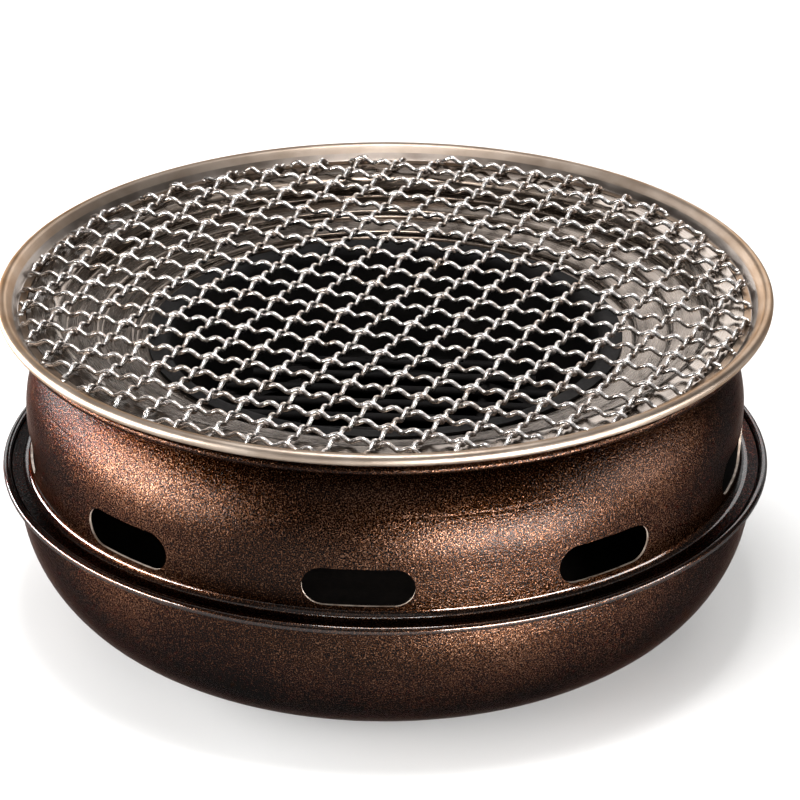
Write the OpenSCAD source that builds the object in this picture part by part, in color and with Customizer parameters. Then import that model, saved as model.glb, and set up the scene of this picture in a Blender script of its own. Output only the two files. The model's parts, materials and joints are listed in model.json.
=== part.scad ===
// Round tabletop charcoal grill: a base bowl, a vented upper body, a drip ring with a
// fire pot and its charcoal grate, and a lift-off grid of crimped wires woven in a rolled ring.
// Millimetres, +Z up, origin on the table under the middle of the bowl.
// Sheet pieces are profiles of straight runs and bends, revolved about Z.

/* [Sheet metal] */
// Thickness of the coated steel sheet of the bowl, the body and the fire pot
coat_t = 1; // [0.8:0.1:1.4]
// Thickness of the stainless sheet of the drip ring
ring_t = 0.6; // [0.5:0.1:0.8]
// Thickness of the stainless sheet of the grid frame
frame_t = 0.8; // [0.6:0.1:1]
// Gap between a piece and the seat that carries it
seat_gap = 0.3; // [0.2:0.05:0.5]

/* [Base bowl] */
// Radius of the flat foot
foot_r = 97; // [80:1:110]
// Radius of the bend from the foot to the wall
bowl_bend_r = 61; // [50:1:70]
// Height of the straight wall above the bend
bowl_wall_h = 5; // [2:0.5:20]
// Radius of the bend from the wall to the flange
bowl_flange_bend_r = 2; // [1.5:0.5:3]
// Width of the flat flange that carries the upper body
bowl_flange_w = 3.1; // [3:0.1:6]
// Radius of the rolled bead at the bowl's edge
bowl_bead_r = 1.4; // [1.2:0.1:2.5]

/* [Upper body] */
// Width of the body's foot flange
body_flange_w = 4.5; // [4:0.5:8]
// Radius of the bend from the foot flange to the wall
body_bend_r = 4; // [3:0.5:6]
// Length of the straight vented wall
body_wall_l = 21.5; // [19.5:0.5:40]
// Outward lean of the vented wall, in degrees
body_wall_lean = 3; // [1:1:8]
// Radius of the shoulder
shoulder_r = 45; // [40:1:50]
// Turn of the shoulder from the wall to the neck, in degrees
shoulder_turn = 50; // [46:1:54]
// Radius of the neck
neck_r = 5.5; // [4.5:0.5:7]
// Width of the flat seat inside the lip
seat_w = 15; // [14.5:0.1:18]
// Radius of the rolled bead at the lip
lip_bead_r = 1.4; // [1.2:0.1:1.8]

/* [Vents] */
// Number of vents round the body
vent_count = 9; // [4:1:12]
// Length of a vent
vent_l = 46; // [24:1:60]
// Height of a vent
vent_h = 17; // [8:0.5:17]
// Height of the vents' middle above the foot flange
vent_rise = 14; // [13:0.5:15]

/* [Drip ring] */
// Width of the rim that hangs on the body's seat
ring_rim_w = 9.3; // [7:0.1:9.7]
// Depth of the collar below the rim
ring_collar_h = 1; // [0.5:0.5:6]
// Fall of the stepped flats toward the fire pot, in degrees
ring_fall = 4; // [2:1:8]
// Width of each of the two sloping flats
ring_flat_w = 12; // [8:0.5:13]
// Width of the level flat that carries the fire pot
pot_seat_w = 9; // [7:0.5:11]
// Radius of the bends at a step
step_bend_r = 1.5; // [1:0.1:2]
// Radius of the bend at the ring's inner edge
ring_edge_r = 3; // [2:0.5:4]
// Depth of the ring's turned-down inner edge
ring_edge_h = 4; // [2:0.5:8]

/* [Fire pot] */
// Width of the rim that hangs on the drip ring
pot_rim_w = 5; // [3:0.5:6]
// Depth of the pot's wall
pot_wall_h = 46; // [30:1:52]
// Taper of the pot's wall, in degrees
pot_taper = 3; // [1:0.5:5]
// Radius of the bend from the wall to the ledge
pot_bend_r = 5; // [3:0.5:7]
// Width of the ledge that carries the grate
pot_ledge_w = 9; // [7:0.5:14]

/* [Charcoal grate] */
// Diameter of the grate's ring rod
ring_rod_d = 5; // [4:0.5:6]
// Diameter of the grate's bars
bar_d = 4; // [3:0.5:5]
// Number of bars
bar_count = 11; // [5:1:11]
// Distance of the outermost bars from the ring's outer edge
bar_margin = 13.4; // [9:0.1:20]
// Distance of the cross bars from the middle
cross_bar_x = 40; // [25:1:55]
// Gap left for the welds of the grate
weld_gap = 0.1; // [0.05:0.05:0.2]

/* [Grill grid] */
// Width of the ledge under the wire ends
ledge_w = 3; // [2.5:0.1:3.5]
// Radius of the bend from the ledge to the frame's wall
frame_bend_r = 1.2; // [1:0.1:1.5]
// Slope of the frame's wall above the level, in degrees
frame_slope = 50; // [46:1:54]
// Length of the frame's sloping wall
frame_wall_l = 6.6; // [6:0.1:9]
// Radius of the frame's rolled bead
frame_bead_r = 2.1; // [1.8:0.1:2.4]
// Gap between the drip ring's rim and the frame's ledge
ledge_gap = 0.4; // [0.4:0.1:1]
// Thickness of a wire
wire_d = 2; // [1.6:0.1:2.4]
// Number of wires in each direction
wire_count = 20; // [12:1:20]
// Distance of the outermost wires from the circle of the wire ends
wire_margin = 4.8; // [4:0.2:12]
// Gap between wires where they cross
weave_gap = 0.15; // [0.1:0.05:0.3]
// Direction of the warp wires, in degrees
grid_turn = -20; // [-45:1:45]

/* [Hidden] */
function numbered(stem, count) = [for (n = [1 : count]) str(stem, n)];
$fn = 96;

// Angle covered by one facet of a bend
arc_step = 7.5;
// Turn of a rolled bead, which stops short of closing
roll_turn = 285;

// A profile is a list of runs: [length, 0] is straight, [radius, turn] is a bend,
// with a positive turn to the left. A state is [x, z, heading].
function straight(l) = [l, 0];
function bend(r, turn) = [r, turn];

// State after one run, or after part of it
function after(s, run, part = 1) =
    run[1] == 0
    ? [s[0] + part * run[0] * cos(s[2]), s[1] + part * run[0] * sin(s[2]), s[2]]
    : let (side = sign(run[1]), h = s[2] + part * run[1])
      [s[0] + side * run[0] * (sin(h) - sin(s[2])), s[1] - side * run[0] * (cos(h) - cos(s[2])), h];

// State after the first n runs
function after_runs(s, runs, n) = n == 0 ? s : after(after_runs(s, runs, n - 1), runs[n - 1]);

// States along one run, without its first one
function along(s, run) =
    let (steps = max(1, ceil(abs(run[1]) / arc_step)))
    [for (k = [1 : steps]) after(s, run, k / steps)];

// All the states of a profile
function states(s, runs) =
    concat([s], [for (n = [0 : len(runs) - 1]) each along(after_runs(s, runs, n), runs[n])]);

// Point beside a state, to its left for a positive offset
function beside(s, offset) = [s[0] - offset * sin(s[2]), s[1] + offset * cos(s[2])];

// A sheet of thickness t bent along a profile and revolved about Z
module spun_sheet(start, runs, t) {
    path = states(start, runs);
    last = len(path) - 1;
    rotate_extrude()
        polygon(concat(
            [for (k = [0 : last]) beside(path[k], t / 2)],
            [for (k = [0 : last]) beside(path[last - k], -t / 2)]));
}

// Base bowl: foot, bend, wall, flange and a bead rolled upward
bowl_start = [0, coat_t / 2, 0];
bowl_runs = [
    straight(foot_r),
    bend(bowl_bend_r, 90),
    straight(bowl_wall_h),
    bend(bowl_flange_bend_r, -90),
    straight(bowl_flange_w),
    bend(bowl_bead_r, roll_turn)];
bowl_bead = after_runs(bowl_start, bowl_runs, 5);
bowl_bead_inner_r = bowl_bead[0] - bowl_bead_r - coat_t / 2;

// Upper body: foot flange, vented wall, shoulder, neck, seat and a bead rolled downward
body_flange_r = bowl_bead_inner_r - seat_gap;
body_start = [body_flange_r, bowl_bead[1] + coat_t + seat_gap, 180];
wall_heading = 90 - body_wall_lean;
neck_heading = wall_heading + shoulder_turn;
body_runs = [
    straight(body_flange_w),
    bend(body_bend_r, wall_heading - 180),
    straight(body_wall_l),
    bend(shoulder_r, shoulder_turn),
    bend(neck_r, -neck_heading),
    straight(seat_w),
    bend(lip_bead_r, -roll_turn)];
seat = after_runs(body_start, body_runs, 5);
seat_top = seat[1] + coat_t / 2;

// Drip ring: rim on the seat, collar round the neck, stepped flats, turned-down inner edge
ring_start = [seat[0] + ring_rim_w, seat_top + seat_gap + ring_t / 2, 180];
ring_neck_r = neck_r + coat_t / 2 + seat_gap + ring_t / 2;
step_turn = 90 - ring_fall;
ring_runs = [
    straight(ring_rim_w),
    bend(ring_neck_r, 90),
    straight(ring_collar_h),
    bend(step_bend_r, -step_turn),
    straight(ring_flat_w),
    bend(step_bend_r, step_turn),
    bend(step_bend_r, -step_turn),
    straight(ring_flat_w),
    bend(step_bend_r, step_turn),
    bend(step_bend_r, -90),
    straight(pot_seat_w),
    bend(ring_edge_r, 90),
    straight(ring_edge_h)];
pot_seat = after_runs(ring_start, ring_runs, 11);

// Fire pot: rim on the drip ring, tapered wall, ledge round an open floor
pot_start = [pot_seat[0] + pot_rim_w, pot_seat[1] + (ring_t + coat_t) / 2 + seat_gap, 180];
pot_edge_r = ring_edge_r + (ring_t + coat_t) / 2 + seat_gap;
pot_runs = [
    straight(pot_rim_w),
    bend(pot_edge_r, 90 - pot_taper),
    straight(pot_wall_h),
    bend(pot_bend_r, pot_taper - 90),
    straight(pot_ledge_w)];
pot_ledge = after_runs(pot_start, pot_runs, 4);

// Charcoal grate: a ring rod on the ledge, bars across it, two cross bars under the bars
grate_r = pot_ledge[0] - ring_rod_d / 2;
grate_z = pot_ledge[1] + coat_t / 2 + seat_gap + ring_rod_d / 2;
bar_end_r = grate_r + ring_rod_d / 2;
bar_z = grate_z + ring_rod_d / 2 + weld_gap + bar_d / 2;
bar_pitch = 2 * (bar_end_r - bar_margin) / (bar_count - 1);
cross_bar_z = bar_z - bar_d - weld_gap;
cross_bar_end_r = grate_r - ring_rod_d / 2 - weld_gap;

// Grid frame: ledge on the seat, sloping wall and a bead rolled outward
frame_start = [ring_start[0] + ledge_gap, seat_top + seat_gap + frame_t / 2, 0];
frame_runs = [
    straight(ledge_w),
    bend(frame_bend_r, frame_slope),
    straight(frame_wall_l),
    bend(frame_bead_r, -roll_turn)];

// Grid wires: three half waves in each pitch, with dips that lie on the ledge
wire_end_r = frame_start[0] + ledge_w - frame_t;
wire_pitch = 2 * (wire_end_r - wire_margin) / (wire_count - 1);
half_wave = wire_pitch / 3;
crimp = (wire_d + weave_gap) / 2;
weave_z = frame_start[1] + frame_t / 2 + seat_gap + wire_d / 2 + crimp;
// Shortest run between a crest or a dip and a wire's end
least_run = 0.1;

// Half length of a straight piece that crosses a circle at a distance from its middle
function half_chord(r, offset) = sqrt(pow(r, 2) - pow(offset, 2));

// Distance of the n-th of several evenly spaced pieces from the middle
function row_offset(n, count, pitch) = (n - (count + 1) / 2) * pitch;
function bar_offset(n) = row_offset(n, bar_count, bar_pitch);
function wire_offset(n) = row_offset(n, wire_count, wire_pitch);

// Height of a zigzag with a crest at each even number and a dip at each odd one
function zigzag(u) = 1 - 4 * abs(u / 2 - round(u / 2));

// Places along a wire, in half waves from the first crossing: each crest and dip and both ends
function wire_places(end) =
    let (from = (-end - wire_offset(1)) / half_wave,
         to = (end - wire_offset(1)) / half_wave,
         least = least_run / half_wave)
    concat([from], [for (u = [ceil(from + least) : floor(to - least)]) u], [to]);

// One crimped wire along X: a four-sided bar swept through its places
module crimped_wire(offset, phase) {
    places = wire_places(half_chord(wire_end_r, offset));
    corners = [[0, 1], [1, 0], [0, -1], [-1, 0]] * wire_d / 2;
    last = len(places) - 1;
    points = [for (u = places) each [for (c = corners)
        [wire_offset(1) + u * half_wave, offset + c[0], weave_z + crimp * zigzag(u + phase) + c[1]]]];
    sides = [for (n = [0 : last - 1]) each [for (c = [0 : 3])
        [4 * n + c, 4 * n + (c + 1) % 4, 4 * n + 4 + (c + 1) % 4, 4 * n + 4 + c]]];
    start_cap = [[3, 2, 1, 0]];
    end_cap = [[for (c = [0 : 3]) 4 * last + c]];
    polyhedron(points, concat(sides, start_cap, end_cap));
}

module base_bowl() {
    color("#33241b") spun_sheet(bowl_start, bowl_runs, coat_t);
}

// Outline of a vent: a slot with round ends
module vent_outline() {
    straight_l = vent_l - vent_h;
    square([straight_l, vent_h], center = true);
    for (side = [-1, 1])
        translate([side * straight_l / 2, 0]) circle(d = vent_h);
}

module upper_body() {
    color("#3a2a20") difference() {
        spun_sheet(body_start, body_runs, coat_t);
        for (n = [0 : vent_count - 1])
            rotate(n * 360 / vent_count)
                translate([0, -foot_r, body_start[1] + vent_rise])
                    rotate([90, 0, 0]) linear_extrude(body_flange_r - foot_r) vent_outline();
    }
}

module drip_ring() {
    color("#c9c4bd") spun_sheet(ring_start, ring_runs, ring_t);
}

module fire_pot() {
    color("#242021") spun_sheet(pot_start, pot_runs, coat_t);
}

module grate_ring() {
    color("#2b2b2b") translate([0, 0, grate_z])
        rotate_extrude() translate([grate_r, 0]) circle(d = ring_rod_d);
}

module grate_bar(n) {
    color("#2f2f2f")
        translate([0, bar_offset(n), bar_z]) rotate([0, 90, 0])
            cylinder(d = bar_d, h = 2 * half_chord(bar_end_r, bar_offset(n)), center = true);
}

module grate_cross_bar(side) {
    color("#2f2f2f")
        translate([side * cross_bar_x, 0, cross_bar_z]) rotate([90, 0, 0])
            cylinder(d = bar_d, h = 2 * half_chord(cross_bar_end_r, cross_bar_x + bar_d / 2),
                     center = true);
}

module grid_frame() {
    color("#d8d4ce") spun_sheet(frame_start, frame_runs, frame_t);
}

module grid_warp_wire(n) {
    color("#e2dfda") rotate(grid_turn) crimped_wire(wire_offset(n), n);
}

// Turned a quarter, a wire passes under where the others pass over
module grid_weft_wire(n) {
    color("#dcd8d2") rotate(grid_turn + 90) crimped_wire(wire_offset(n), n + wire_count);
}

base_bowl();
upper_body();
drip_ring();
fire_pot();
grate_ring();
for (n = [1 : bar_count])
    grate_bar(n);
grate_cross_bar(-1);  // grate_cross_bar_1
grate_cross_bar(1);  // grate_cross_bar_2
grid_frame();
for (n = [1 : wire_count]) {
    grid_warp_wire(n);
    grid_weft_wire(n);
}
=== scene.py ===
"""Round tabletop charcoal grill: smooth pieces, finishes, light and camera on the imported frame."""

import json
import math
import random

import bmesh
import bpy
from mathutils import Matrix, Vector


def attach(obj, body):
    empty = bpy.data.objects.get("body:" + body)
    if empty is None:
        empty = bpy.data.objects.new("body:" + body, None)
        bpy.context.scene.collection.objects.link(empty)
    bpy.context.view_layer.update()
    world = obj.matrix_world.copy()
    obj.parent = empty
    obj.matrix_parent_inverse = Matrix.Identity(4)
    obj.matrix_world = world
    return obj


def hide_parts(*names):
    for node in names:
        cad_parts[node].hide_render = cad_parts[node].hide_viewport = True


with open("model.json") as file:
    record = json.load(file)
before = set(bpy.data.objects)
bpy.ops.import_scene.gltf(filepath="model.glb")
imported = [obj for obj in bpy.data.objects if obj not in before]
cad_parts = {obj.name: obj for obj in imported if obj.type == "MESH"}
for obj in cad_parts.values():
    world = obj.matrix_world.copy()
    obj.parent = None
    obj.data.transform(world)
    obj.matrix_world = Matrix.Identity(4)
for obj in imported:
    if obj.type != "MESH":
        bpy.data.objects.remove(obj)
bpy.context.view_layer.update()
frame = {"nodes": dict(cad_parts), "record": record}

# Sizes are in millimetres and angles in degrees, until a mesh is made
MM = 0.001

# Sheet thicknesses, and the gap between a piece and the seat that carries it
COAT_T = 1.0
RING_T = 0.6
FRAME_T = 0.8
SEAT_GAP = 0.3

# Base bowl
FOOT_R = 97.0
BOWL_BEND_R = 61.0
BOWL_WALL_H = 5.0
BOWL_FLANGE_BEND_R = 2.0
BOWL_FLANGE_W = 3.1
BOWL_BEAD_R = 1.4

# Upper body and its vents
BODY_FLANGE_W = 4.5
BODY_BEND_R = 4.0
BODY_WALL_L = 21.5
BODY_WALL_LEAN = 3.0
SHOULDER_R = 45.0
SHOULDER_TURN = 50.0
NECK_R = 5.5
SEAT_W = 15.0
LIP_BEAD_R = 1.4
VENT_COUNT = 9
VENT_L = 46.0
VENT_H = 17.0
VENT_RISE = 14.0
CREASE_Z = 114.0
CREASE_W = 0.9

# Drip ring and fire pot
RING_RIM_W = 9.3
RING_COLLAR_H = 1.0
RING_FALL = 4.0
RING_FLAT_W = 12.0
POT_SEAT_W = 9.0
STEP_BEND_R = 1.5
RING_EDGE_R = 3.0
RING_EDGE_H = 4.0
POT_RIM_W = 5.0
POT_WALL_H = 46.0
POT_TAPER = 3.0
POT_BEND_R = 5.0
POT_LEDGE_W = 9.0

# Grid frame and wires
LEDGE_W = 3.0
FRAME_BEND_R = 1.2
FRAME_SLOPE = 50.0
FRAME_WALL_L = 6.6
FRAME_BEAD_R = 2.1
LEDGE_GAP = 0.4
WIRE_D = 2.0
WIRE_COUNT = 20
WIRE_MARGIN = 4.8
WEAVE_GAP = 0.15
GRID_TURN = -20.0
END_RUN = 4.5

# Spot welds: least and greatest half sizes, rise above the ledge, and dents that differ between them
WELD_HALF_W = (1.1, 1.4)
WELD_HALF_H = (0.7, 0.9)
WELD_RISE = 0.2
WELD_DENT = 0.08
WELD_WAVES = (5, 4)
WELD_SHIFTS = (9, 7)
WELD_SEED = 7

# Fineness of the meshes
ROLL_TURN = 285.0
FACET = 2.5
FACET_TURN = 9.0
SPIN_STEPS = 240
WIRE_FACET = 0.8
WIRE_SIDES = 12
VENT_END_STEPS = 24
WELD_SUBDIVISIONS = 3
MERGE_DISTANCE = 0.01
SHARP_ANGLE = 40.0

# Camera as the photograph has it: PX means pixels of an 800 by 800 frame, and the distance is in metres
IMAGE_PX = 800.0
FOCAL_PX = 4368.0
AXIS_PX = (385.2, 291.4)
SENSOR_MM = 36.0
CAMERA_DISTANCE = 1.86
CAMERA_AZIMUTH = 4.1
CAMERA_ELEVATION = 24.0

# Stage in metres and watts: each light has a name, azimuth, elevation, distance, size and power
FLOOR_HALF = 6.0
LIGHTS = (
    ("top_box", 180, 78, 2.2, (3.0, 3.0), 22),
    ("key_box", 0, 82, 1.7, (0.6, 0.4), 28),
    ("left_strip", -92, 7, 1.2, (2.0, 0.15), 105),
    ("right_strip", 78, 8, 1.2, (0.6, 0.3), 12),
    ("low_card", 35, -3.6, 0.43, (0.28, 0.05), 4.8),
    ("back_box", 164, 26, 1.3, (0.7, 0.5), 6),
    ("left_rear_strip", -157, 10, 1.6, (1.0, 0.5), 10),
    ("right_rear_strip", 158, 10, 1.6, (1.0, 0.5), 3),
    ("fill_box", -8, 42, 2.2, (1.6, 1.0), 2.5),
)
ROOM_COLOR = (1.0, 0.96, 0.92, 1)
ROOM_STRENGTH = 0.12


def straight(length):
    """A straight run of a profile."""
    return length, 0.0


def bend(radius, turn):
    """A bend of a profile, with a positive turn to the left."""
    return radius, turn


def advance(state, run, part=1.0):
    """The state (radius, height, heading) after part of a run."""
    x, z, heading = state
    size, turn = run
    before = math.radians(heading)
    if not turn:
        return x + part * size * math.cos(before), z + part * size * math.sin(before), heading
    after = math.radians(heading + part * turn)
    side = math.copysign(size, turn)
    x += side * (math.sin(after) - math.sin(before))
    z -= side * (math.cos(after) - math.cos(before))
    return x, z, heading + part * turn


def after_runs(state, runs):
    """The state at the end of several runs."""
    for run in runs:
        state = advance(state, run)
    return state


def step_count(run):
    """How many steps a run is drawn in, so that it looks smooth."""
    size, turn = run
    length = size * math.radians(abs(turn)) if turn else size
    return math.ceil(max(length / FACET, abs(turn) / FACET_TURN))


def walk(start, runs):
    """The states along a profile."""
    states = [start]
    for run in runs:
        first = states[-1]
        steps = step_count(run)
        states += [advance(first, run, k / steps) for k in range(1, steps + 1)]
    return states


def beside(state, offset):
    """The point beside a state, to its left for a positive offset."""
    x, z, heading = state
    turned = math.radians(heading)
    return x - offset * math.sin(turned), z + offset * math.cos(turned)


def add_object(name, mesh, *materials):
    """A linked object with smooth faces, and hard edges where the mesh turns sharply."""
    for mat in materials:
        mesh.materials.append(mat)
    mesh.shade_smooth()
    mesh.set_sharp_from_angle(angle=math.radians(SHARP_ANGLE))
    obj = bpy.data.objects.new(name, mesh)
    bpy.context.scene.collection.objects.link(obj)
    return obj


def side_materials(runs, chosen):
    """Material numbers along one side of a profile, 0 where none is chosen for a run."""
    numbers = []
    for n, run in enumerate(runs):
        numbers += [chosen.get(n, 0)] * step_count(run)
    return numbers


def spun_mesh(name, start, runs, thickness, left=None, right=None):
    """A sheet bent along a profile and revolved, with material numbers for runs of either side."""
    states = walk(start, runs)
    outline = [beside(s, thickness / 2) for s in states]
    outline += [beside(s, -thickness / 2) for s in reversed(states)]
    count = len(outline)
    verts, faces = [], []
    for step in range(SPIN_STEPS):
        turn = math.tau * step / SPIN_STEPS
        verts += [(x * MM * math.cos(turn), x * MM * math.sin(turn), z * MM) for x, z in outline]
        here = step * count
        there = (step + 1) % SPIN_STEPS * count
        for k in range(count):
            after = (k + 1) % count
            faces.append((here + k, there + k, there + after, here + after))
    mesh = bpy.data.meshes.new(name)
    mesh.from_pydata(verts, [], faces)
    numbers = side_materials(runs, left or {}) + [0]
    numbers += side_materials(runs, right or {})[::-1] + [0]
    mesh.polygons.foreach_set("material_index", numbers * SPIN_STEPS)
    bm = bmesh.new()
    bm.from_mesh(mesh)
    bmesh.ops.remove_doubles(bm, verts=bm.verts, dist=MERGE_DISTANCE * MM)
    bmesh.ops.recalc_face_normals(bm, faces=bm.faces)
    bm.to_mesh(mesh)
    bm.free()
    return mesh


# Base bowl: foot, bend, wall, flange and a bead rolled upward
bowl_start = (0.0, COAT_T / 2, 0.0)
bowl_sheet = [
    straight(FOOT_R),
    bend(BOWL_BEND_R, 90),
    straight(BOWL_WALL_H),
    bend(BOWL_FLANGE_BEND_R, -90),
    straight(BOWL_FLANGE_W),
]
bowl_bead = bend(BOWL_BEAD_R, ROLL_TURN)
bowl_edge = after_runs(bowl_start, bowl_sheet)

# Upper body: foot flange, vented wall, shoulder, neck, seat and a bead rolled downward
wall_heading = 90 - BODY_WALL_LEAN
body_start = (
    bowl_edge[0] - BOWL_BEAD_R - COAT_T / 2 - SEAT_GAP,
    bowl_edge[1] + COAT_T + SEAT_GAP,
    180.0,
)
body_sheet = [
    straight(BODY_FLANGE_W),
    bend(BODY_BEND_R, wall_heading - 180),
    straight(BODY_WALL_L),
    bend(SHOULDER_R, SHOULDER_TURN),
    bend(NECK_R, -(wall_heading + SHOULDER_TURN)),
]
seat = after_runs(body_start, body_sheet)
seat_top = seat[1] + COAT_T / 2
body_lip = [straight(SEAT_W), bend(LIP_BEAD_R, -ROLL_TURN)]

# Drip ring: rim on the seat, collar, stepped flats, a level seat and a turned-down edge
step_turn = 90 - RING_FALL
ring_start = (seat[0] + RING_RIM_W, seat_top + SEAT_GAP + RING_T / 2, 180.0)
ring_sheet = [
    straight(RING_RIM_W),
    bend(NECK_R + (COAT_T + RING_T) / 2 + SEAT_GAP, 90),
    straight(RING_COLLAR_H),
    bend(STEP_BEND_R, -step_turn),
    straight(RING_FLAT_W),
    bend(STEP_BEND_R, step_turn),
    bend(STEP_BEND_R, -step_turn),
    straight(RING_FLAT_W),
    bend(STEP_BEND_R, step_turn),
    bend(STEP_BEND_R, -90),
    straight(POT_SEAT_W),
]
ring_edge = [bend(RING_EDGE_R, 90), straight(RING_EDGE_H)]
pot_seat = after_runs(ring_start, ring_sheet)

# Fire pot: rim on the drip ring, tapered wall and a ledge round an open floor
pot_start = (pot_seat[0] + POT_RIM_W, pot_seat[1] + (RING_T + COAT_T) / 2 + SEAT_GAP, 180.0)
pot_sheet = [
    straight(POT_RIM_W),
    bend(RING_EDGE_R + (RING_T + COAT_T) / 2 + SEAT_GAP, 90 - POT_TAPER),
    straight(POT_WALL_H),
    bend(POT_BEND_R, POT_TAPER - 90),
    straight(POT_LEDGE_W),
]

# Grid frame: ledge on the seat, bend, sloping wall in two halves and a bead rolled outward
frame_start = (ring_start[0] + LEDGE_GAP, seat_top + SEAT_GAP + FRAME_T / 2, 0.0)
frame_sheet = [
    straight(LEDGE_W),
    bend(FRAME_BEND_R, FRAME_SLOPE),
    straight(FRAME_WALL_L / 2),
    straight(FRAME_WALL_L / 2),
]
frame_bead = bend(FRAME_BEAD_R, -ROLL_TURN)
bead_z = after_runs(frame_start, frame_sheet)[1] - FRAME_BEAD_R * math.cos(math.radians(FRAME_SLOPE))

# Grid wires: three half waves in each pitch, with dips that lie on the ledge
wire_end_r = frame_start[0] + LEDGE_W - FRAME_T
wire_pitch = 2 * (wire_end_r - WIRE_MARGIN) / (WIRE_COUNT - 1)
half_wave = wire_pitch / 3
crimp = (WIRE_D + WEAVE_GAP) / 2
ledge_top = frame_start[1] + FRAME_T / 2
weave_z = ledge_top + SEAT_GAP + WIRE_D / 2 + crimp
resting_z = ledge_top + WIRE_D / 2


class Finish:
    """A node material with short calls to add its nodes and join them."""

    def __init__(self, name, color, metallic, roughness):
        self.material = bpy.data.materials.new(name)
        self.material.use_nodes = True
        self.tree = self.material.node_tree
        self.shader = self.tree.nodes["Principled BSDF"]
        self.shader.inputs["Base Color"].default_value = (*color, 1)
        self.shader.inputs["Metallic"].default_value = metallic
        self.shader.inputs["Roughness"].default_value = roughness
        self.place = self.add("TexCoord").outputs["Object"]

    def add(self, kind, settings=None, **inputs):
        """A new node; an input takes a number, a colour or another node's output."""
        node = self.tree.nodes.new("ShaderNode" + kind)
        for key, value in (settings or {}).items():
            setattr(node, key, value)
        for key, value in inputs.items():
            self.feed(node.inputs[key.replace("_", " ")], value)
        return node

    def feed(self, socket, value):
        """Sets a socket, or links it to an output."""
        if isinstance(value, bpy.types.NodeSocket):
            self.tree.links.new(value, socket)
        else:
            socket.default_value = value

    def math(self, operation, first, second=0.0):
        """The output of one sum; some sums have no second value."""
        node = self.add("Math", {"operation": operation})
        self.feed(node.inputs[0], first)
        self.feed(node.inputs[1], second)
        return node.outputs[0]

    def mix(self, first, second, share):
        """A share of one value and the rest of another."""
        rest = self.math("MULTIPLY", second, 1 - share)
        return self.math("ADD", self.math("MULTIPLY", first, share), rest)

    def noise(self, scale, detail=2.0, roughness=0.5, place=None):
        """Values of a noise whose scale is in patches per metre."""
        node = self.add(
            "TexNoise", Vector=place or self.place, Scale=scale, Detail=detail, Roughness=roughness)
        return node.outputs["Fac"]

    def ramp(self, value, *stops):
        """A colour ramp with stops (place, colour)."""
        node = self.add("ValToRGB", Fac=value)
        elements = node.color_ramp.elements
        while len(elements) < len(stops):
            elements.new(0.5)
        for element, (at, color) in zip(elements, stops):
            element.position = at
            element.color = (*color, 1)
        return node.outputs["Color"]

    def spread(self, value, low, high):
        """Values from 0 to 1 mapped to another range."""
        node = self.add("MapRange", Value=value, To_Min=low, To_Max=high)
        return node.outputs["Result"]

    def round_the_axis(self, along):
        """Coordinates that change along the profile and hardly round it, for lines left by spinning."""
        parts = self.add("SeparateXYZ", Vector=self.place)
        x, y, z = (parts.outputs[k] for k in "XYZ")
        squares = self.math("ADD", self.math("MULTIPLY", x, x), self.math("MULTIPLY", y, y))
        radius = self.math("SQRT", squares)
        turn = self.math("MULTIPLY", self.math("ARCTAN2", y, x), along)
        return self.add("CombineXYZ", X=radius, Y=turn, Z=z).outputs["Vector"]

    def relief(self, *layers):
        """Bumps, one on another: each layer is (height values, strength, depth in metres)."""
        normal = None
        for height, strength, depth in layers:
            node = self.add("Bump", Height=height, Strength=strength, Distance=depth)
            if normal:
                self.feed(node.inputs["Normal"], normal)
            normal = node.outputs["Normal"]
        self.set(Normal=normal, Coat_Normal=normal)

    def set(self, **inputs):
        """Sets or links the shader's own sockets."""
        for key, value in inputs.items():
            self.feed(self.shader.inputs[key.replace("_", " ")], value)


def coating(name, pebble_strength, gloss):
    """Brown pearl coating with a pebbled skin, faint lines left by spinning and a crease."""
    skin = Finish(name, (0.0096, 0.0027, 0.0005), 1.0, 0.31)
    pebbles = skin.noise(1100, detail=2.0, roughness=0.6)
    flakes = skin.noise(1900, detail=1.0)
    clouds = skin.noise(14, detail=3.0)
    lines = skin.noise(700, detail=3.0, place=skin.round_the_axis(0.003))
    tone = skin.mix(flakes, clouds, 0.75)
    color = skin.ramp(
        tone,
        (0.40, (0.0014, 0.0004, 0.0001)),
        (0.49, (0.0075, 0.002, 0.0003)),
        (0.57, (0.029, 0.009, 0.0024)),
        (0.66, (0.105, 0.056, 0.034)))
    height = skin.add("SeparateXYZ", Vector=skin.place).outputs["Z"]
    away = skin.math("ABSOLUTE", skin.math("SUBTRACT", height, CREASE_Z * MM))
    crease = skin.math("MINIMUM", skin.math("DIVIDE", away, CREASE_W * MM), 1)
    skin.set(
        Base_Color=color, Roughness=skin.spread(flakes, 0.24, 0.38),
        Specular_Tint=(0.25, 0.12, 0.07, 1),
        Coat_Weight=gloss, Coat_IOR=2.5, Coat_Roughness=0.07)
    skin.relief((crease, 0.18, 0.0004), (lines, 0.24, 0.0002), (pebbles, pebble_strength, 0.00035))
    return skin.material


def soot_and_painted_shade_lining():
    """Inside of the coated sheet: soot, and painted shade that keeps the unlit inside near black."""
    # Near-black colours: soot, and painted shade of the unlit inside
    lining_finish = Finish("soot_and_painted_shade_lining", (0.003, 0.0022, 0.0018), 0.0, 0.85)
    grain = lining_finish.noise(500, detail=3.0)
    lining_finish.set(
        Base_Color=lining_finish.ramp(grain, (0.35, (0.0015, 0.001, 0.0008)), (0.7, (0.005, 0.0038, 0.003))),
        Roughness=lining_finish.spread(grain, 0.75, 0.95), Specular_IOR_Level=0.05)
    lining_finish.relief((grain, 0.3, 0.0003))
    return lining_finish.material


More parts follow.
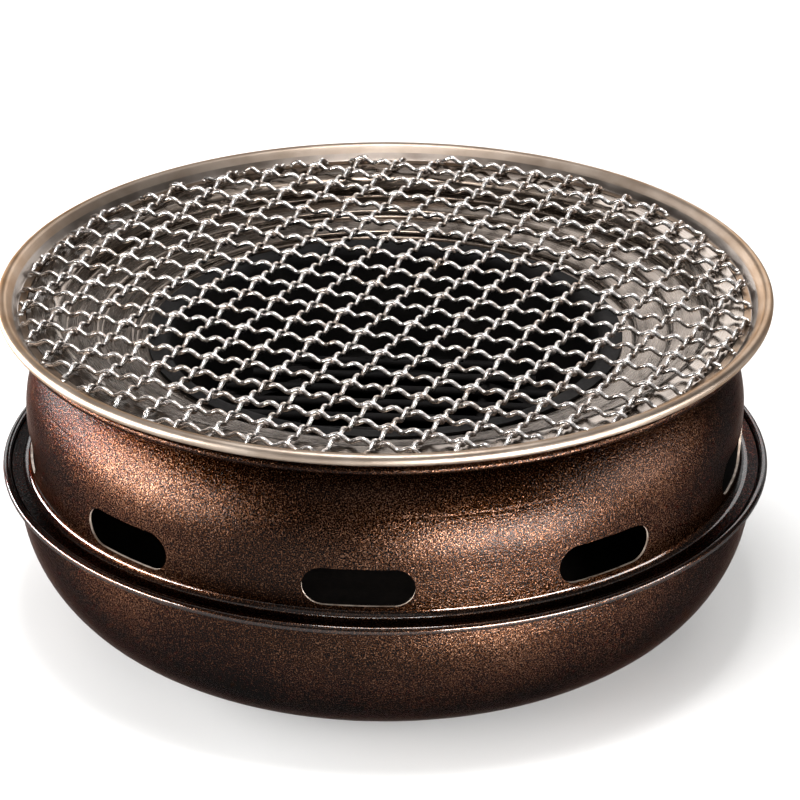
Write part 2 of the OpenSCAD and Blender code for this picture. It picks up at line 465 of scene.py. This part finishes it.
def cut_edge():
    """Coated edge of a punched vent, rubbed thin so that it catches the light."""
    edge = Finish("cut_edge", (0.37, 0.3, 0.245), 0.2, 0.45)
    wear = edge.noise(260, detail=3.0)
    edge.set(Base_Color=edge.ramp(wear, (0.35, (0.22, 0.16, 0.12)), (0.65, (0.52, 0.44, 0.37))))
    edge.relief((wear, 0.2, 0.0001))
    return edge.material


def spun_stainless():
    """Stainless sheet with the fine rings of a spun finish, which draw light out into rays."""
    steel = Finish("spun_stainless", (0.14, 0.115, 0.094), 1.0, 0.27)
    rings = steel.noise(900, detail=3.0, place=steel.round_the_axis(0.004))
    blotches = steel.noise(25, detail=3.0)
    tint = steel.mix(rings, blotches, 0.5)
    across = steel.add("Tangent", {"direction_type": "RADIAL", "axis": "Z"}).outputs["Tangent"]
    steel.set(
        Base_Color=steel.ramp(tint, (0.35, (0.085, 0.064, 0.05)), (0.65, (0.20, 0.165, 0.137))),
        Roughness=steel.spread(rings, 0.22, 0.32), Anisotropic=0.6, Tangent=across)
    steel.relief((rings, 0.08, 0.0001))
    return steel.material


def satin_stainless():
    """Satin stainless sheet of the grid frame, with faint rings."""
    steel = Finish("satin_stainless", (0.26, 0.208, 0.168), 1.0, 0.4)
    rings = steel.noise(1800, detail=2.0, place=steel.round_the_axis(0.004))
    smudges = steel.noise(60, detail=4.0)
    steel.set(
        Base_Color=steel.ramp(smudges, (0.3, (0.215, 0.165, 0.128)), (0.7, (0.30, 0.248, 0.205))),
        Roughness=steel.spread(smudges, 0.36, 0.46), Specular_Tint=(0.4, 0.29, 0.22, 1))
    steel.relief((rings, 0.06, 0.0001))
    return steel.material


def painted_reflection_wall():
    """Inner wall of the grid frame, painted dark as a reflection of the grill's dark inside, in random
    blotches.
    """
    # Dark colours are a painted reflection of the shaded inside of the grill
    steel = Finish("painted_reflection_wall", (0.17, 0.14, 0.12), 1.0, 0.36)
    blotches = steel.noise(50, detail=4.0)
    rings = steel.noise(1800, detail=2.0, place=steel.round_the_axis(0.004))
    steel.set(
        Base_Color=steel.ramp(blotches, (0.3, (0.10, 0.08, 0.066)), (0.7, (0.24, 0.205, 0.18))),
        Roughness=steel.spread(blotches, 0.3, 0.44))
    steel.relief((rings, 0.06, 0.0001))
    return steel.material


def drawn_wire():
    """Bright drawn wire with a little heat tint."""
    wire = Finish("drawn_wire", (0.55, 0.52, 0.5), 1.0, 0.27)
    tint = wire.noise(130, detail=3.0)
    scratches = wire.noise(2400, detail=2.0)
    wire.set(
        Base_Color=wire.ramp(tint, (0.3, (0.38, 0.325, 0.285)), (0.55, (0.60, 0.575, 0.56))),
        Roughness=wire.spread(scratches, 0.2, 0.32), Specular_Tint=(0.45, 0.36, 0.3, 1))
    wire.relief((scratches, 0.12, 0.00005))
    return wire.material


def weld_metal():
    """Grey metal of the spot welds."""
    weld = Finish("weld_metal", (0.6, 0.57, 0.54), 1.0, 0.3)
    grain = weld.noise(600, detail=2.0)
    weld.set(Base_Color=weld.ramp(grain, (0.35, (0.46, 0.41, 0.37)), (0.65, (0.72, 0.70, 0.68))))
    weld.relief((grain, 0.2, 0.0001))
    return weld.material


def black_steel():
    """Matt black steel of the fire pot and the charcoal grate; the pot's black is also painted shade of
    the unlit inside.
    """
    # On the fire pot this black also serves as painted shade of the grill's unlit inside
    steel = Finish("black_steel", (0.007, 0.0065, 0.006), 0.0, 0.7)
    grain = steel.noise(700, detail=3.0)
    dust = steel.noise(45, detail=4.0)
    steel.set(
        Base_Color=steel.ramp(dust, (0.4, (0.0045, 0.004, 0.004)), (0.7, (0.011, 0.0095, 0.009))),
        Roughness=steel.spread(grain, 0.6, 0.8), Specular_IOR_Level=0.1)
    steel.relief((grain, 0.3, 0.0003))
    return steel.material


def place_piece(obj, body, slot, *nodes):
    """Makes a piece ride on a body and stand for CAD nodes."""
    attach(obj, body)
    if nodes:
        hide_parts(*nodes)


def vent_cutter():
    """Slots with round ends, one for each vent, long enough to pass through the body's wall."""
    half = (VENT_L - VENT_H) / 2
    turns = [math.radians(-90 + k * 180 / VENT_END_STEPS) for k in range(VENT_END_STEPS + 1)]
    right = [(half + VENT_H / 2 * math.cos(a), VENT_H / 2 * math.sin(a)) for a in turns]
    outline = right + [(-x, -y) for x, y in right]
    middle_z = body_start[1] + VENT_RISE
    bm = bmesh.new()
    for n in range(VENT_COUNT):
        turn = Matrix.Rotation(math.tau * n / VENT_COUNT, 3, "Z")
        loops = []
        for depth in (FOOT_R, body_start[0]):
            points = [turn @ Vector((x, -depth, middle_z + y)) * MM for x, y in outline]
            loops.append([bm.verts.new(p) for p in points])
        inner, outer = loops
        bm.faces.new(inner)
        bm.faces.new(outer)
        for k in range(len(outline)):
            bm.faces.new((inner[k - 1], inner[k], outer[k], outer[k - 1]))
    bmesh.ops.recalc_face_normals(bm, faces=bm.faces)
    mesh = bpy.data.meshes.new("vent_cutter")
    bm.to_mesh(mesh)
    bm.free()
    return mesh


def cut_vents(body, edge_material):
    """Cuts the vents through the body, and gives the cut faces the edge's material."""
    cutter = add_object("vent_cutter", vent_cutter(), edge_material)
    cut = body.modifiers.new("vents", "BOOLEAN")
    cut.object = cutter
    cut.solver = "EXACT"
    cut.material_mode = "TRANSFER"
    graph = bpy.context.evaluated_depsgraph_get()
    mesh = bpy.data.meshes.new_from_object(body.evaluated_get(graph))
    mesh.set_sharp_from_angle(angle=math.radians(SHARP_ANGLE))
    body.modifiers.remove(cut)
    body.data = mesh
    bpy.data.objects.remove(cutter)


def wire_height(along, phase):
    """Height of a wire's middle: waves with a crest or a dip at each crossing."""
    first = -(WIRE_COUNT - 1) / 2 * wire_pitch
    return weave_z + crimp * math.cos(math.pi * ((along - first) / half_wave + phase))


def wire_line(n, phase):
    """Points (along, across, height) of the n-th wire's middle; a long free end settles on the ledge."""
    across = (n - (WIRE_COUNT + 1) / 2) * wire_pitch
    end = math.sqrt(wire_end_r**2 - across**2)
    past_last_crossing = (end - wire_pitch / 2) % wire_pitch
    steps = math.ceil(2 * end / WIRE_FACET)
    line = []
    for k in range(steps + 1):
        along = end * (2 * k / steps - 1)
        height = wire_height(along, phase)
        if past_last_crossing > END_RUN:
            settled = max(0, 1 - (end - abs(along)) / END_RUN)
            height += (resting_z - height) * settled**2 * (3 - 2 * settled)
        line.append(Vector((along, across, height)))
    return line


def add_tube(verts, faces, line, radius, turn):
    """Adds a round tube along a line that stays in one upright plane."""
    side = Vector((0, 1, 0))
    base = len(verts)
    for k, point in enumerate(line):
        ahead = (line[min(k + 1, len(line) - 1)] - line[max(k - 1, 0)]).normalized()
        up = ahead.cross(side)
        for c in range(WIRE_SIDES):
            angle = math.tau * c / WIRE_SIDES
            offset = side * math.cos(angle) + up * math.sin(angle)
            verts.append(turn @ (point + offset * radius) * MM)
    for k in range(len(line) - 1):
        for c in range(WIRE_SIDES):
            a = base + k * WIRE_SIDES
            d = (c + 1) % WIRE_SIDES
            faces.append((a + c, a + c + WIRE_SIDES, a + d + WIRE_SIDES, a + d))
    last = base + (len(line) - 1) * WIRE_SIDES
    faces.append(tuple(base + c for c in range(WIRE_SIDES)))
    faces.append(tuple(last + c for c in reversed(range(WIRE_SIDES))))


def woven_wires(name, turn_angle, phase_shift, mat):
    """All the wires of one direction as round crimped wire, and where their ends lie."""
    turn = Matrix.Rotation(math.radians(turn_angle), 3, "Z")
    verts, faces, ends = [], [], []
    for n in range(1, WIRE_COUNT + 1):
        line = wire_line(n, n + phase_shift)
        add_tube(verts, faces, line, WIRE_D / 2, turn)
        ends += [turn @ line[0], turn @ line[-1]]
    mesh = bpy.data.meshes.new(name)
    mesh.from_pydata(verts, [], faces)
    return add_object(name, mesh, mat), ends


def spot_welds(name, ends, mat):
    """Uneven nuggets of weld metal where a wire's end rests on the ledge."""
    dice = random.Random(WELD_SEED)
    bm = bmesh.new()
    for end in ends:
        size = Vector([dice.uniform(*limits) for limits in (WELD_HALF_W, WELD_HALF_W, WELD_HALF_H)])
        if end.z > resting_z + WIRE_D / 4:
            continue
        middle = Vector((end.x, end.y, ledge_top + WELD_RISE))
        made = bmesh.ops.create_icosphere(bm, subdivisions=WELD_SUBDIVISIONS, radius=1.0)
        for v in made["verts"]:
            wave_x = math.sin(WELD_WAVES[0] * v.co.x + WELD_SHIFTS[0] * end.x)
            wave_y = math.cos(WELD_WAVES[1] * v.co.y + WELD_SHIFTS[1] * end.y)
            v.co = (middle + size * v.co * (1 + WELD_DENT * wave_x * wave_y)) * MM
    mesh = bpy.data.meshes.new(name)
    bm.to_mesh(mesh)
    bm.free()
    return add_object(name, mesh, mat)


def build_body():
    """Coated bowl and body: inside with soot and painted shade, smooth on the bowl's bead and the body's
    first bend.
    """
    finishes = (
        coating("pearl_coating", pebble_strength=0.8, gloss=0.03),
        soot_and_painted_shade_lining(),
        coating("smooth_coating", pebble_strength=0.12, gloss=0.17),
    )
    # Material 1 is the inside lining, painted dark as soot and shade
    soot_and_shade, smooth = 1, 2
    foot_to_wall, bead = range(3), len(bowl_sheet)
    bowl_mesh = spun_mesh(
        "bowl_shell", bowl_start, bowl_sheet + [bowl_bead], COAT_T,
        left=dict.fromkeys(foot_to_wall, soot_and_shade), right={bead: smooth})
    bowl = add_object("bowl_shell", bowl_mesh, *finishes)
    place_piece(bowl, "base", "coated_steel", "base_bowl")
    below_seat, first_bend = range(len(body_sheet)), 1
    body_mesh = spun_mesh(
        "body_shell", body_start, body_sheet + body_lip, COAT_T,
        left=dict.fromkeys(below_seat, soot_and_shade), right={first_bend: smooth})
    body = add_object("body_shell", body_mesh, *finishes)
    cut_vents(body, cut_edge())
    place_piece(body, "body", "coated_steel", "upper_body")


def build_fire():
    """Drip ring, fire pot and charcoal grate."""
    black = black_steel()
    ring_mesh = spun_mesh("drip_ring_shell", ring_start, ring_sheet + ring_edge, RING_T)
    ring = add_object("drip_ring_shell", ring_mesh, spun_stainless())
    place_piece(ring, "ring", "stainless_sheet", "drip_ring")
    pot_mesh = spun_mesh("fire_pot_shell", pot_start, pot_sheet, COAT_T)
    pot = add_object("fire_pot_shell", pot_mesh, black)
    place_piece(pot, "pot", "black_steel", "fire_pot")
    for node in frame["record"]["behaviour"]["bodies"]["grate"]:
        for slot in frame["nodes"][node].material_slots:
            slot.material = black


def build_grid():
    """Grid frame, woven wires and their welds."""
    # Material 1 on the frame's bend and lower wall is the painted dark reflection
    dark_wall_finish, bend_and_lower_wall = 1, (1, 2)
    frame_mesh = spun_mesh(
        "grid_ring", frame_start, frame_sheet + [frame_bead], FRAME_T,
        left=dict.fromkeys(bend_and_lower_wall, dark_wall_finish))
    ring = add_object("grid_ring", frame_mesh, satin_stainless(), painted_reflection_wall())
    place_piece(ring, "grid", "polished_stainless", "grid_frame")
    wire = drawn_wire()
    ends = []
    for way, turn, shift in (("warp", 0, 0), ("weft", 90, WIRE_COUNT)):
        wires, way_ends = woven_wires(f"{way}_wires", GRID_TURN + turn, shift, wire)
        nodes = [f"grid_{way}_wire_{n}" for n in range(1, WIRE_COUNT + 1)]
        place_piece(wires, "grid", "stainless_wire", *nodes)
        ends += way_ends
    welds = spot_welds("wire_welds", ends, weld_metal())
    place_piece(welds, "grid", "stainless_wire")


def add_floor():
    """A plain pale floor."""
    half = FLOOR_HALF
    corners = [(-half, -half, 0), (half, -half, 0), (half, half, 0), (-half, half, 0)]
    mesh = bpy.data.meshes.new("floor")
    mesh.from_pydata(corners, [], [(0, 1, 2, 3)])
    paper = Finish("floor_paper", (0.52, 0.517, 0.513), 0.0, 0.8)
    paper.relief((paper.noise(400), 0.05, 0.0002))
    floor = add_object("floor", mesh, paper.material)


def toward(azimuth, elevation):
    """Unit vector from the object; azimuth 0 is toward -Y and 90 toward +X."""
    a, e = math.radians(azimuth), math.radians(elevation)
    return Vector((math.sin(a) * math.cos(e), -math.cos(a) * math.cos(e), math.sin(e)))


def add_softbox(name, azimuth, elevation, distance, size, power):
    """A rectangular light that faces the grill."""
    data = bpy.data.lights.new(name, "AREA")
    data.shape = "RECTANGLE"
    data.size, data.size_y = size
    data.energy = power
    light = bpy.data.objects.new(name, data)
    middle = Vector((0, 0, bead_z / 2 * MM))
    back = toward(azimuth, elevation)
    light.location = middle + back * distance
    light.rotation_mode = "QUATERNION"
    light.rotation_quaternion = (-back).to_track_quat("-Z", "Y")
    bpy.context.scene.collection.objects.link(light)


def add_lights():
    """Boxes above, in front and behind, strips at the sides and the rear, a low card and a dim room."""
    for light in LIGHTS:
        add_softbox(*light)
    world = bpy.data.worlds.new("room")
    world.use_nodes = True
    backdrop = world.node_tree.nodes["Background"]
    backdrop.inputs["Color"].default_value = ROOM_COLOR
    backdrop.inputs["Strength"].default_value = ROOM_STRENGTH
    bpy.context.scene.world = world


def add_camera():
    """Camera at the photograph's angle, aimed so that the grid lies where it does there."""
    back = toward(CAMERA_AZIMUTH, CAMERA_ELEVATION)
    turn = math.radians(CAMERA_AZIMUTH)
    right = Vector((math.cos(turn), math.sin(turn), 0))
    up = back.cross(right)
    metres_per_px = CAMERA_DISTANCE / FOCAL_PX
    pivot = Vector((0, 0, bead_z * MM))
    middle = IMAGE_PX / 2
    aim = pivot + (right * (middle - AXIS_PX[0]) - up * (middle - AXIS_PX[1])) * metres_per_px
    data = bpy.data.cameras.new("camera")
    data.sensor_width = SENSOR_MM
    data.lens = SENSOR_MM * FOCAL_PX / IMAGE_PX
    camera = bpy.data.objects.new("camera", data)
    camera.location = pivot + back * CAMERA_DISTANCE
    camera.rotation_mode = "QUATERNION"
    camera.rotation_quaternion = (aim - camera.location).to_track_quat("-Z", "Y")
    bpy.context.scene.collection.objects.link(camera)
    bpy.context.scene.camera = camera


build_body()
build_fire()
build_grid()
add_floor()
add_lights()
add_camera()
bpy.context.scene.view_settings.view_transform = "Standard"
